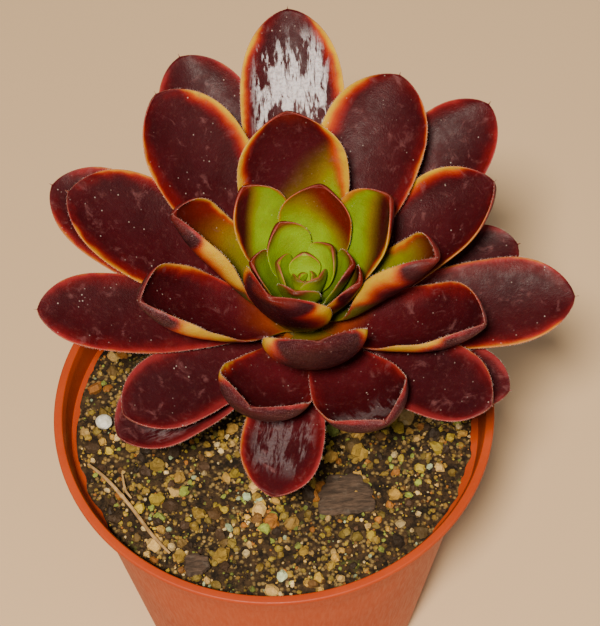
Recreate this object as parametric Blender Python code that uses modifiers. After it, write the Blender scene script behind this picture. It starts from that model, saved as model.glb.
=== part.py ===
"""A potted succulent: a rosette of fleshy leaves on a short stem, rooted in gritty soil in a nursery pot.

Frame: metres, +Z up, origin at the middle of the pot's underside, -Y at the front.
Leaves follow one spiral: each older leaf sits a little lower on the stem and one divergence
angle further round, and every blade is the same formula with its own rise, curl and size.
"""

import math
from collections import namedtuple

import bmesh
import bpy
import numpy as np
from mathutils import Matrix, Vector

MM = 0.001
CLEARANCE = 0.3 * MM

# Pot
POT_HEIGHT = 95 * MM
RIM_RADIUS = 55 * MM
LIP_WIDTH = 2.15 * MM
LIP_THICKNESS = 1.4 * MM
COLLAR_HEIGHT = 8.5 * MM
COLLAR_INSET = 1.4 * MM
COLLAR_DRAFT = 0.9 * MM
STEP_IN = 2.5 * MM
STEP_HEIGHT = 1.3 * MM
BASE_RADIUS = 38.5 * MM
FOOT_CHAMFER = 0.6 * MM
POT_WALL = 1.3 * MM
POT_FLOOR = 1.6 * MM
DRAIN_HOLE_RADIUS = 3.5 * MM
DRAIN_RING_INSET = 13.5 * MM
DRAIN_HOLE_COUNT = 6
DRAIN_HOLE_SIDES = 16
POT_STEPS = 48

# Soil
SOIL_DEPTH_BELOW_RIM = 8 * MM
SOIL_EDGE_DROP = 1 * MM
SOIL_EDGE_WIDTH = 7 * MM

# Stem: rooted upright, then leaning over, and turning upright again towards its growing tip
ROOT_DEPTH = 14 * MM
STEM_RADIUS = 4.8 * MM
STEM_TIP_RADIUS = 1 * MM
STEM_HEIGHT = 56.5 * MM
STEM_TIP_OFFSET = (8.5 * MM, -0.5 * MM)
STEM_SIDES_RESOLUTION = 2
STEM_BEND_SHARE = 0.35
STEM_BEND_POINTS = 7
TAPERED_LEAVES = 13
STEM_STATIONS = (30, 22, TAPERED_LEAVES, TAPERED_LEAVES / 2)
ROOT_POCKET_SIDES = 12
FORWARD_TILT = 16
TILT_STARTS = 6
TILT_FULL = 26

# Leaves
DIVERGENCE = 137.5
FIRST_AZIMUTH = 82.5
LEAF_GAP = 0.25 * MM
SPACING_PER_THICKNESS = 0.2
TOP_BARE_STEM = 0.5 * MM
HEART_LEAVES = 13
BLADE_THICKNESS = 1.5 * MM
MARGIN_THICKNESS_SHARE = 0.45
BASE_FLESH = 0.3
FLESH_RISE = 0.5
TIP_THINNING = 0.6
CURL_POWER = 2.4
WIDEST_AT = 0.66
BASE_WIDTH_SHARE = 0.25
WAIST_POWER = 1.25
SHOULDER_POWER = 2.6
TIP_POWER = 0.68
TIP_WIDTH_SHARE = 0.06
BASE_CUP_SHARE = 0.75
FOLD_SPAN = (0.1, 0.7)
ROLL_SPAN = (0.05, 0.6)
SECTION_STEPS = 7
LENGTH_CELLS = 8
WIDTH_CELLS = 4
MIDRIB_STEPS = 64

# Litter on the soil. Places are shares of the soil's radius, and the third numbers millimetres above it.
STRAW_RADIUS = 0.5 * MM
STRAW_ROUTE = (
    (-0.936, -0.214, 1.2),
    (-0.838, -0.322, 2.2),
    (-0.731, -0.458, 1.4),
    (-0.624, -0.624, 1),
    (-0.536, -0.731, 0.6),
)
SPRIG_ROUTE = ((-0.766, -0.277, 0.8), (-0.751, -0.366, 0.8), (-0.721, -0.417, 0.8))
CHIP_BEVEL = 0.5 * MM
LARGE_CHIP_SIZE = (13 * MM, 9 * MM, 1.8 * MM)
LARGE_CHIP_PLACE = (0.331, -0.458)
LARGE_CHIP_TURN = 20
SMALL_CHIP_SIZE = (6 * MM, 4 * MM, 2.2 * MM)
SMALL_CHIP_PLACE = (-0.409, -0.799)
SMALL_CHIP_TURN = -35
PEBBLE_SIZE = (4.6 * MM, 4 * MM, 3.2 * MM)
PEBBLE_PLACE = (-0.858, 0.029)
PEBBLE_CELLS = (10, 6)

Leaf = namedtuple("Leaf", "order nudge rise curl length width cup fold roll")
# order: place on the spiral, counted from the youngest. nudge: degrees off the exact spiral.
# rise and curl: pitch at the base and what it gains towards the tip, in degrees.
# length, width: millimetres. cup: slope of the margins across the blade. fold: what the margins turn up
# beyond the cup. roll: how far the whole blade tips to one side. The last three are in degrees.
LEAVES = [
    Leaf(0, 6, 78, 12, 11, 8, 48, 0, 0),
    Leaf(1, 4, 76, 8, 12, 9, 48, 0, 0),
    Leaf(2, 4, 71, 10, 13, 10, 48, 0, 0),
    Leaf(3, 2, 69.5, 10, 15, 11, 50, 0, 0),
    Leaf(4, 0, 67, 8, 16, 11, 48, 0, 0),
    Leaf(5, 6, 67, 12, 20, 13, 50, 0, 0),
    Leaf(6, 10, 65, 8, 19, 13, 50, 0, 0),
    Leaf(7, -25, 61, 8, 18, 12, 48, 0, 0),
    Leaf(8, 11, 61, 12, 28, 19, 50, 0, 0),
    Leaf(9, 39, 61, 16, 24, 14, 52, 0, 0),
    Leaf(10, -20, 53, 18, 31, 17, 50, 0, 0),
    Leaf(11, 17, 56, 18, 35, 20, 52, 0, 0),
    Leaf(12, 3, 63, 30, 28, 27, 50, 30, 0),
    Leaf(13, 0, 49, 20, 45, 28, 42, 8, 0),
    Leaf(14, 34, 44, 30, 39, 24, 66, 46, -32),
    Leaf(15, -19, 42, 30, 40, 23, 62, 46, 27),
    Leaf(16, 19.5, 28.5, 13, 55.5, 27.5, 38, 8, 0),
    Leaf(17, 10, 41, 78, 37, 29, 48, 35, 0),
    Leaf(18, 1, 33, 10, 58.5, 26, 34, 8, 0),
    Leaf(19, -11, 21, 42, 44, 25, 58, 30, -14),
    Leaf(20, -24, 25.5, 50, 43, 26, 62, 30, 14),
    Leaf(21, 16, 24, 8, 68.5, 26, 34, 5, 0),
    Leaf(22, -2, 16, 74, 43, 26, 50, 32, 0),
    Leaf(23, -6, 23.5, 6, 59, 26, 34, 8, 0),
    Leaf(24, 5, 23.5, 16, 51, 25, 46, 24, -8),
    Leaf(25, -2.5, 16, 92, 36.5, 27, 50, 34, 0),
    Leaf(26, 6, 17, 6, 65, 25, 34, 0, 0),
    Leaf(27, -4, 23, 6, 48, 20, 30, 6, 0),
    Leaf(28, -13, 16, 4, 59, 20, 32, 0, 0),
    Leaf(29, -10, 17, 8, 63, 24, 34, 14, 0),
    Leaf(30, -21, 11, 6, 40, 20, 28, 12, 0),
    Leaf(31, 10, 10, 8, 64, 24, 30, 0, 0),
    Leaf(32, -2, 12, 0, 59, 22.5, 30, 0, 0),
    Leaf(33, -17, 14, 6, 45, 20, 32, 10, 0),
    Leaf(34, 3, 4, 2, 50, 22, 30, 0, 0),
    Leaf(35, 27, 10, 2, 46, 17, 20, 0, 0),
    Leaf(37, -16, 4, 4, 50, 20, 30, 0, 0),
    Leaf(41, 3, 9, 0, 47, 21, 30, 16, 0),
]

SOIL_TOP = POT_HEIGHT - SOIL_DEPTH_BELOW_RIM
LEAF_SPACING = LEAF_GAP + SPACING_PER_THICKNESS * BLADE_THICKNESS


def clear_scene():
    for item in list(bpy.data.objects):
        bpy.data.objects.remove(item, do_unlink=True)


def make_collection(name):
    collection = bpy.data.collections.new(name)
    bpy.context.scene.collection.children.link(collection)
    return collection


def make_material(name, color, roughness):
    material = bpy.data.materials.new(name)
    material.use_nodes = True
    shader = material.node_tree.nodes["Principled BSDF"]
    shader.inputs["Base Color"].default_value = (*color, 1)
    shader.inputs["Roughness"].default_value = roughness
    shader.inputs["Metallic"].default_value = 0
    return material


def add_object(name, data, collection, material=None):
    item = bpy.data.objects.new(name, data)
    collection.objects.link(item)
    if material:
        data.materials.append(material)
    return item


def smooth(mesh, angle=40):
    mesh.shade_smooth()
    mesh.set_sharp_from_angle(angle=math.radians(angle))


def turned(name, profile, collection, material, steps=POT_STEPS):
    """A solid turned about Z from (radius, height) points: the inside, over the top, down the outside."""
    mesh = bpy.data.meshes.new(name)
    edges = [(i, i + 1) for i in range(len(profile) - 1)]
    mesh.from_pydata([(radius, 0, height) for radius, height in profile], edges, [])
    item = add_object(name, mesh, collection, material)
    screw = item.modifiers.new("turn", "SCREW")
    screw.steps = screw.render_steps = steps
    screw.use_merge_vertices = True
    screw.merge_threshold = 0.00001
    screw.use_smooth_shade = True
    return item


def pot_levels():
    """Heights and outer radii where the pot's wall changes direction, from the lip down."""
    lip_under = POT_HEIGHT - LIP_THICKNESS
    collar_radius = RIM_RADIUS - COLLAR_INSET
    collar_foot = (collar_radius - COLLAR_DRAFT, lip_under - COLLAR_HEIGHT + LIP_THICKNESS)
    body_top = (collar_foot[0] - STEP_IN, collar_foot[1] - STEP_HEIGHT)
    return lip_under, collar_radius, collar_foot, body_top


def inner_radius(height):
    """The pot's inner radius at a height: the outer wall's, less the wall's thickness."""
    lip_under, collar_radius, collar_foot, body_top = pot_levels()
    heights = [0, body_top[1], collar_foot[1], lip_under]
    radii = [BASE_RADIUS, body_top[0], collar_foot[0], collar_radius]
    return float(np.interp(height, heights, radii)) - POT_WALL


def soil_edge():
    """Radius and height of the soil's edge, which stands a clearance inside the pot's wall."""
    height = SOIL_TOP - SOIL_EDGE_DROP
    return inner_radius(height) - CLEARANCE, height


def on_soil(place):
    """X and Y of a place given as shares of the soil's radius."""
    radius = soil_edge()[0]
    return place[0] * radius, place[1] * radius


def build_pot(parts, cutters, plastic):
    lip_under, collar_radius, collar_foot, body_top = pot_levels()
    profile = [
        (0, POT_FLOOR),
        (inner_radius(POT_FLOOR), POT_FLOOR),
        (body_top[0] - POT_WALL, body_top[1]),
        (collar_foot[0] - POT_WALL, collar_foot[1]),
        (collar_radius - POT_WALL, lip_under),
        (RIM_RADIUS - LIP_WIDTH, POT_HEIGHT),
        (RIM_RADIUS - LIP_THICKNESS / 3, POT_HEIGHT),
        (RIM_RADIUS, POT_HEIGHT - LIP_THICKNESS / 3),
        (RIM_RADIUS, lip_under),
        (collar_radius, lip_under),
        collar_foot,
        body_top,
        (BASE_RADIUS, FOOT_CHAMFER),
        (BASE_RADIUS - FOOT_CHAMFER, 0),
        (0, 0),
    ]
    pot = turned("pot", profile, parts, plastic)
    ring_radius = BASE_RADIUS - DRAIN_RING_INSET
    for index in range(DRAIN_HOLE_COUNT):
        angle = 2 * math.pi * (index + 0.5) / DRAIN_HOLE_COUNT
        place = (ring_radius * math.cos(angle), ring_radius * math.sin(angle), POT_FLOOR / 2)
        name = "drain_cutter_%d" % (index + 1)
        cutter = add_cylinder(name, DRAIN_HOLE_RADIUS, 3 * POT_FLOOR, place, cutters, DRAIN_HOLE_SIDES)
        cut(pot, cutter)
    return pot


def add_cylinder(name, radius, height, place, collection, sides):
    mesh = bpy.data.meshes.new(name)
    form = bmesh.new()
    bmesh.ops.create_cone(
        form, cap_ends=True, segments=sides, radius1=radius, radius2=radius, depth=height
    )
    form.to_mesh(mesh)
    form.free()
    item = add_object(name, mesh, collection)
    item.location = place
    item.hide_render = True
    item.display_type = "WIRE"
    return item


def cut(item, cutter):
    boolean = item.modifiers.new(cutter.name, "BOOLEAN")
    boolean.operation = "DIFFERENCE"
    boolean.solver = "EXACT"
    boolean.object = cutter


def build_soil(parts, cutters, ground):
    """The root ball: it fills the pot to its level and has a pocket that the stem's root end stands in."""
    body_top = pot_levels()[3]
    floor = POT_FLOOR + CLEARANCE
    edge_radius, edge_height = soil_edge()
    profile = [
        (0, SOIL_TOP),
        (edge_radius - SOIL_EDGE_WIDTH, SOIL_TOP),
        (edge_radius, edge_height),
        (body_top[0] - POT_WALL - CLEARANCE, min(body_top[1], edge_height - CLEARANCE)),
        (inner_radius(floor) - CLEARANCE, floor),
        (0, floor),
    ]
    soil = turned("soil", profile, parts, ground)
    pocket_depth = ROOT_DEPTH + CLEARANCE
    pocket_radius = STEM_RADIUS + CLEARANCE
    pocket_top = (0, 0, SOIL_TOP)
    pocket = add_cylinder(
        "root_pocket", pocket_radius, 2 * pocket_depth, pocket_top, cutters, ROOT_POCKET_SIDES
    )
    cut(soil, pocket)
    return soil


def tilt(order):
    """How far the stem tips forward where a leaf of this order sits: none at the heart, full lower down."""
    share = np.clip((order - TILT_STARTS) / (TILT_FULL - TILT_STARTS), 0, 1)
    return np.radians(FORWARD_TILT) * share


def stem_point(order):
    """The stem's axis where a leaf of this order sits, followed down from the growing tip."""
    steps = np.linspace(0, order, MIDRIB_STEPS + 1)
    middle = tilt((steps[1:] + steps[:-1]) / 2)
    stride = LEAF_SPACING * order / MIDRIB_STEPS
    tip_height = SOIL_TOP + STEM_HEIGHT - TOP_BARE_STEM
    back = STEM_TIP_OFFSET[1] + np.sin(middle).sum() * stride
    return np.array([STEM_TIP_OFFSET[0], back, tip_height - np.cos(middle).sum() * stride])


def stem_radius(order):
    """Full below the heart, tapering evenly to the growing tip above it."""
    share = min(order / TAPERED_LEAVES, 1)
    return STEM_TIP_RADIUS + (STEM_RADIUS - STEM_TIP_RADIUS) * share


def tube(name, points, radii, collection, material, resolution):
    """A closed round tube along a polyline, its radius given at each point."""
    curve = bpy.data.curves.new(name, "CURVE")
    curve.dimensions = "3D"
    curve.bevel_depth = max(radii)
    curve.bevel_resolution = resolution
    curve.use_fill_caps = True
    spline = curve.splines.new("POLY")
    spline.points.add(len(points) - 1)
    for knot, point, radius in zip(spline.points, points, radii):
        knot.co = (*point, 1)
        knot.radius = radius / curve.bevel_depth
    return add_object(name, curve, collection, material)


def build_stem(parts, bark):
    """Straight up through the soil, a curve across to the oldest leaf, then the leafy stretch to the tip."""
    lowest = stem_point(LEAVES[-1].order)
    tip = stem_point(0) + [0, 0, TOP_BARE_STEM]
    foot = np.array([0, 0, SOIL_TOP])
    angle = tilt(LEAVES[-1].order)
    leafy_start = np.array([0, -math.sin(angle), math.cos(angle)])
    reach = (lowest[2] - foot[2]) * STEM_BEND_SHARE
    bends = [foot, foot + [0, 0, reach], lowest - reach * leafy_start, lowest]
    points = [foot - [0, 0, ROOT_DEPTH]]
    points += [cubic(bends, share) for share in np.linspace(0, 1, STEM_BEND_POINTS)]
    points += [stem_point(order) for order in STEM_STATIONS] + [tip]
    radii = [STEM_RADIUS] * (1 + STEM_BEND_POINTS)
    radii += [stem_radius(order) for order in STEM_STATIONS] + [STEM_TIP_RADIUS]
    return tube("stem", points, radii, parts, bark, STEM_SIDES_RESOLUTION)


def cubic(corners, share):
    """The point at a share of the cubic Bezier curve with these four corners."""
    rest = 1 - share
    weights = (rest**3, 3 * rest**2 * share, 3 * rest * share**2, share**3)
    return sum(weight * corner for weight, corner in zip(weights, corners))


def midrib(leaf, share):
    """Outward run, climb and pitch of the midrib at shares of its length.

    The pitch starts at the leaf's rise and gains its curl times the share to CURL_POWER."""
    steps = np.linspace(0, 1, MIDRIB_STEPS + 1)
    pitch = np.radians(leaf.rise + leaf.curl * steps**CURL_POWER)
    stride = leaf.length * MM / MIDRIB_STEPS
    middle = (pitch[1:] + pitch[:-1]) / 2
    run = np.concatenate([[0], np.cumsum(np.cos(middle))]) * stride
    climb = np.concatenate([[0], np.cumsum(np.sin(middle))]) * stride
    return tuple(np.interp(share, steps, values) for values in (run, climb, pitch))


def half_width(leaf, share):
    """Half the blade's width: a sine rise from a narrow base, then a rounded, pointed end."""
    rise = np.sin(np.pi / 2 * np.clip(share / WIDEST_AT, 0, 1)) ** WAIST_POWER
    past = np.clip((share - WIDEST_AT) / (1 - WIDEST_AT), 0, 1)
    end = np.clip(1 - past**SHOULDER_POWER, 0, 1) ** TIP_POWER
    outline = (BASE_WIDTH_SHARE + (1 - BASE_WIDTH_SHARE) * rise) * end
    return leaf.width * MM / 2 * np.maximum(outline, TIP_WIDTH_SHARE)


def eased(share, span):
    """0 before the span of shares, 1 after it, and a smooth climb between."""
    place = np.clip((share - span[0]) / (span[1] - span[0]), 0, 1)
    return place * place * (3 - 2 * place)


def section(leaf, share, side, half):
    """Sideways reach and lift of each cross-section.

    Its slope is the roll, plus the cup times the side, plus the fold times the side cubed. The reach and lift
    are the sums of the slope's cosine and sine from the midrib, taken at Gauss's points."""
    cup = np.radians(leaf.cup) * (BASE_CUP_SHARE + (1 - BASE_CUP_SHARE) * share)
    fold = np.radians(leaf.fold) * eased(share, FOLD_SPAN)
    roll = np.radians(leaf.roll) * eased(share, ROLL_SPAN)
    places, weights = np.polynomial.legendre.leggauss(SECTION_STEPS)
    inner = side[:, None] * (places + 1) / 2
    slopes = roll[:, None] + cup[:, None] * inner + fold[:, None] * inner**3
    lateral = half * side * (np.cos(slopes) * weights).sum(-1) / 2
    lift = half * side * (np.sin(slopes) * weights).sum(-1) / 2
    return lateral, lift


def blade_points(leaf, share, side):
    """Points of the blade's middle surface at shares of its length and sides from -1 to 1."""
    azimuth = math.radians(FIRST_AZIMUTH - DIVERGENCE * leaf.order + leaf.nudge)
    lean = Matrix.Rotation(tilt(leaf.order), 3, "X")
    outward = np.array(lean @ Vector((math.cos(azimuth), math.sin(azimuth), 0)))
    across = np.array(lean @ Vector((-math.sin(azimuth), math.cos(azimuth), 0)))
    upward = np.array(lean @ Vector((0, 0, 1)))
    run, climb, pitch = midrib(leaf, share)
    half = half_width(leaf, share)
    lateral, lift = section(leaf, share, side, half)
    foot = stem_point(leaf.order) + outward * (stem_radius(leaf.order) + CLEARANCE + BLADE_THICKNESS / 2)
    radial = run - lift * np.sin(pitch)
    rising = climb + lift * np.cos(pitch)
    return foot + np.outer(radial, outward) + np.outer(lateral, across) + np.outer(rising, upward)


def build_leaf(leaf, name, parts, flesh):
    """A blade: a flat grid bent to the formula, then given thickness that thins to the margins."""
    form = bmesh.new()
    bmesh.ops.create_grid(form, x_segments=LENGTH_CELLS, y_segments=WIDTH_CELLS, size=1)
    form.verts.ensure_lookup_table()
    flat = np.array([vertex.co[:] for vertex in form.verts])
    share = (flat[:, 0] + 1) / 2
    side = flat[:, 1]
    for vertex, point in zip(form.verts, blade_points(leaf, share, side)):
        vertex.co = point
    mesh = bpy.data.meshes.new(name)
    form.to_mesh(mesh)
    form.free()
    item = add_object(name, mesh, parts, flesh)
    flesh_group = item.vertex_groups.new(name="flesh")
    plumpness = np.minimum(1, BASE_FLESH + share / FLESH_RISE) * (1 - TIP_THINNING * share**2)
    for index, weight in enumerate((1 - side**2) * plumpness):
        flesh_group.add([index], weight, "REPLACE")
    solidify = item.modifiers.new("flesh", "SOLIDIFY")
    solidify.thickness = BLADE_THICKNESS
    solidify.offset = 0
    solidify.vertex_group = flesh_group.name
    solidify.thickness_vertex_group = MARGIN_THICKNESS_SHARE
    smooth(mesh)
    return item


def build_leaves(parts, materials):
    for count, leaf in enumerate(LEAVES, 1):
        if leaf.order < HEART_LEAVES:
            build_leaf(leaf, "heart_leaf_%02d" % count, parts, materials["heart_leaf"])
        else:
            build_leaf(leaf, "leaf_%02d" % (count - HEART_LEAVES), parts, materials["leaf"])


def build_chip(name, size, place, turn, parts, material):
    """A flat lump with worn edges, resting on the soil."""
    mesh = bpy.data.meshes.new(name)
    form = bmesh.new()
    bmesh.ops.create_cube(form, size=1)
    bmesh.ops.scale(form, vec=size, verts=form.verts)
    bmesh.ops.translate(form, vec=(0, 0, size[2] / 2), verts=form.verts)
    form.to_mesh(mesh)
    form.free()
    item = add_object(name, mesh, parts, material)
    item.location = (*on_soil(place), SOIL_TOP + CLEARANCE)
    item.rotation_euler = (0, 0, math.radians(turn))
    worn = item.modifiers.new("worn_edges", "BEVEL")
    worn.width = CHIP_BEVEL
    worn.segments = 1
    return item


def build_pebble(name, size, place, parts, material):
    """A rounded pebble that touches the soil at its lowest point."""
    mesh = bpy.data.meshes.new(name)
    form = bmesh.new()
    around, along = PEBBLE_CELLS
    bmesh.ops.create_uvsphere(form, u_segments=around, v_segments=along, radius=0.5)
    bmesh.ops.scale(form, vec=size, verts=form.verts)
    bmesh.ops.translate(form, vec=(0, 0, size[2] / 2), verts=form.verts)
    form.to_mesh(mesh)
    form.free()
    item = add_object(name, mesh, parts, material)
    item.location = (*on_soil(place), SOIL_TOP + CLEARANCE)
    mesh.shade_smooth()
    return item


def build_straw(name, route, parts, material):
    lowest = SOIL_TOP + CLEARANCE + STRAW_RADIUS
    points = [(*on_soil(knot[:2]), lowest + knot[2] * MM) for knot in route]
    return tube(name, points, [STRAW_RADIUS] * len(points), parts, material, 0)


def main():
    clear_scene()
    parts = make_collection("potted_succulent")
    cutters = make_collection("cutters")
    cutters.hide_render = True
    materials = {
        "pot": make_material("terracotta_plastic", (0.62, 0.14, 0.05), 0.38),
        "soil": make_material("gritty_soil", (0.11, 0.075, 0.035), 0.95),
        "stem": make_material("corky_stem", (0.16, 0.09, 0.05), 0.8),
        "leaf": make_material("leaf_maroon", (0.17, 0.012, 0.016), 0.33),
        "heart_leaf": make_material("leaf_green", (0.22, 0.33, 0.03), 0.35),
        "bark": make_material("bark_chip", (0.09, 0.06, 0.035), 0.85),
        "stone": make_material("pale_stone", (0.62, 0.58, 0.48), 0.7),
        "straw": make_material("dry_straw", (0.36, 0.2, 0.07), 0.6),
    }
    build_pot(parts, cutters, materials["pot"])
    build_soil(parts, cutters, materials["soil"])
    build_stem(parts, materials["stem"])
    build_leaves(parts, materials)
    bark = materials["bark"]
    build_chip("bark_chip_large", LARGE_CHIP_SIZE, LARGE_CHIP_PLACE, LARGE_CHIP_TURN, parts, bark)
    build_chip("bark_chip_small", SMALL_CHIP_SIZE, SMALL_CHIP_PLACE, SMALL_CHIP_TURN, parts, bark)
    build_pebble("pale_stone", PEBBLE_SIZE, PEBBLE_PLACE, parts, materials["stone"])
    build_straw("dry_straw", STRAW_ROUTE, parts, materials["straw"])
    build_straw("straw_sprig", SPRIG_ROUTE, parts, materials["straw"])


main()
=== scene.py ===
import math
from collections import namedtuple

import bpy
import numpy as np
from mathutils import Matrix, Vector


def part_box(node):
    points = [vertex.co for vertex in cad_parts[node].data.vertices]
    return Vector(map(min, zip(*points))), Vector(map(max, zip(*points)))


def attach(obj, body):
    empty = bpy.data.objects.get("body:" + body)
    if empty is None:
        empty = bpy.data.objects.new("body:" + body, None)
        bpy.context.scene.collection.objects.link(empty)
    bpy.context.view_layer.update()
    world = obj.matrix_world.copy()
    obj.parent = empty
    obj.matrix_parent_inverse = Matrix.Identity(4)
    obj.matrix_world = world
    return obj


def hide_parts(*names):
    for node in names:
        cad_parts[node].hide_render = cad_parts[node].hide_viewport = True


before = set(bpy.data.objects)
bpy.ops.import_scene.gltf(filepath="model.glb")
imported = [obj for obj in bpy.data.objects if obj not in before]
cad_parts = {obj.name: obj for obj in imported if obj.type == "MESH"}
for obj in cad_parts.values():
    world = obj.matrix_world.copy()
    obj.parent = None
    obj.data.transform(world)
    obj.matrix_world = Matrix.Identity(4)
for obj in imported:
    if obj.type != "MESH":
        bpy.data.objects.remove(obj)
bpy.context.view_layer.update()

MM = 0.001

# ---- sizes shared with the CAD model
POT_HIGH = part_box("pot")[1]
SOIL_LOW, SOIL_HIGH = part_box("soil")
POT_HEIGHT = POT_HIGH[2]
RIM_RADIUS = POT_HIGH[0]
SOIL_TOP = SOIL_HIGH[2]
SOIL_RADIUS = SOIL_HIGH[0]
CLEARANCE = 0.3 * MM

STEM_RADIUS = 4.8 * MM
STEM_TIP_RADIUS = 1 * MM
STEM_HEIGHT = 56.5 * MM
STEM_TIP_OFFSET = (8.5 * MM, -0.5 * MM)
TOP_BARE_STEM = 0.5 * MM
TAPERED_LEAVES = 13
FORWARD_TILT = 16
TILT_STARTS = 6
TILT_FULL = 26
STEM_BEND_SHARE = 0.35
ROOT_DEPTH = 14 * MM
ROOT_RINGS, STEM_RINGS, STEM_AROUND = 12, 90, 56
SCAR_PITCH = 2.6 * MM

DIVERGENCE = 137.5
FIRST_AZIMUTH = 82.5
LEAF_SPACING = 0.55 * MM
BLADE_THICKNESS = 1.5 * MM
FLESH = 2.0 * MM
MARGIN_THICKNESS_SHARE = 0.55
CURL_POWER = 2.4
WIDEST_AT = 0.66
BASE_WIDTH_SHARE = 0.25
WAIST_POWER = 1.25
SHOULDER_POWER = 2.6
TIP_POWER = 0.6
BASE_CUP_SHARE = 0.75
MIDRIB_STEPS = 64
HEART_LEAVES = 13

# The blade's finer shape
ROUND_END = 0.985
POINT_STARTS = 0.9
POINT_WIDTH = 1.2 * MM
ALONG_CELLS = 84
AROUND_CELLS = 64
EMBED_SHARE = 0.05
LEAST_HALF_WIDTH = 0.1 * MM
BEND_SHARE = 0.022
TWIST_SHARE = 0.05
WAVE_HEIGHT = 0.3 * MM
WAVES_ALONG = 2.6
DENT_HEIGHT = 0.07 * MM
FOLD_SPAN = (0.1, 0.7)
ROLL_SPAN = (0.05, 0.6)
GAUSS_POINTS = 7

# Hairs on the margins
HAIR_RADIUS = 0.022 * MM
HAIR_SPAN = (0.22, 0.995)
HAIR_SPREAD = 0.28
OLDEST_BALD_LEAF = 3

# Each uneven pattern has its own seed, to which a leaf adds its order
SHAPE_SEED, DENT_SEED, TINT_SEED, FINE_SEED = 900, 40, 300, 500
BAND_SEED, SPOT_SEED, HAIR_SEED = 700, 800, 1300
CLUMP_SEED, GRAVEL_SEED, GRAVEL_SHAPE_SEED, GRIT_SHAPE_SEED, CORK_SEED = 31, 21, 22, 23, 71
LUMP_SEED, CRUMB_SEED, PEBBLE_SEED, LARGE_CHIP_SEED, SMALL_CHIP_SEED = 11, 12, 5, 3, 8

Leaf = namedtuple("Leaf", "order nudge rise curl length width cup fold roll", defaults=(0, 0))
# order: place on the spiral from the youngest. length, width: mm. The rest are degrees; fold is what the
# margins turn up beyond the cup, and roll tips the whole blade to one side.
LEAVES = [Leaf(*row) for row in (
    (0, 6, 78, 12, 11, 8, 48),
    (1, 4, 76, 8, 12, 9, 48),
    (2, 4, 71, 10, 13, 10, 48),
    (3, 2, 69.5, 10, 15, 11, 50),
    (4, 0, 67, 8, 16, 11, 48),
    (5, 6, 67, 12, 20, 13, 50),
    (6, 10, 65, 8, 19, 13, 50),
    (7, -25, 61, 8, 18, 12, 48),
    (8, 11, 61, 12, 28, 19, 50),
    (9, 39, 61, 16, 24, 14, 52),
    (10, -20, 53, 18, 31, 17, 50),
    (11, 17, 56, 18, 35, 20, 52),
    (12, 3, 63, 30, 28, 27, 50, 30),
    (13, 0, 49, 20, 45, 28, 42, 8),
    (14, 34, 44, 30, 39, 24, 66, 46, -32),
    (15, -19, 42, 30, 40, 23, 62, 46, 27),
    (16, 19.5, 28.5, 13, 55.5, 27.5, 38, 8),
    (17, 10, 41, 78, 37, 29, 48, 35),
    (18, 1, 33, 10, 58.5, 26, 34, 8),
    (19, -11, 21, 42, 44, 25, 58, 30, -14),
    (20, -24, 25.5, 50, 43, 26, 62, 30, 14),
    (21, 16, 24, 8, 68.5, 26, 34, 5),
    (22, -2, 16, 74, 43, 26, 50, 32),
    (23, -6, 23.5, 6, 59, 26, 34, 8),
    (24, 5, 23.5, 16, 51, 25, 46, 24, -8),
    (25, -2.5, 16, 92, 36.5, 27, 50, 34),
    (26, 6, 17, 6, 65, 25, 34),
    (27, -4, 23, 6, 48, 20, 30, 6),
    (28, -13, 16, 4, 59, 20, 32),
    (29, -10, 17, 8, 63, 24, 34, 14),
    (30, -21, 11, 6, 40, 20, 28, 12),
    (31, 10, 10, 8, 64, 24, 30),
    (32, -2, 12, 0, 59, 22.5, 30),
    (33, -17, 14, 6, 45, 20, 32, 10),
    (34, 3, 4, 2, 50, 22, 30),
    (35, 27, 10, 2, 46, 17, 20),
    (37, -16, 4, 4, 50, 20, 30),
    (41, 3, 9, 0, 47, 21, 30, 16),
)]

HEART = [leaf for leaf in LEAVES if leaf.order < HEART_LEAVES]
GROWN = [leaf for leaf in LEAVES if leaf.order >= HEART_LEAVES]

# ---- colours


def paint(code):
    """Linear red, green and blue of a six-digit screen colour."""
    values = np.array([int(code[i:i + 2], 16) for i in (0, 2, 4)]) / 255
    return np.where(values <= 0.04045, values / 12.92, ((values + 0.055) / 1.055) ** 2.4)


BRIGHT_GREEN, BUD_GREEN, DEEP_GREEN, OLIVE = map(paint, ("809c14", "92b41e", "5c7a0c", "6e5c0a"))
BROWN_ORANGE, RED_BROWN, MAROON, NIGHT = map(paint, ("7c300c", "5a140c", "3b0b10", "25080d"))
WINE, CRIMSON, ORANGE, GOLD = map(paint, ("470f15", "8c1616", "b4440c", "bd9612"))
ROSE, DUSK, PALE_EDGE, CORK = map(paint, ("80282a", "380d12", "b0685a", "8a6a4a"))
GREEN_CORK, SCAR = map(paint, ("8f9a3c", "4c3526"))

# The yellow margin's bands from outer to inner paint: colour, amount, the shares of its width at which it is
# full and gone, mm beyond that, and how fast it comes on along the blade.
MARGIN_BANDS = (
    (CRIMSON, 0.75, 0.8, 1.9, 0.5, 1.5), (ORANGE, 1, 0.55, 1.25, 0.3, 1.5), (GOLD, 1, 0.2, 0.85, 0, 1.6),
)

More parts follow.
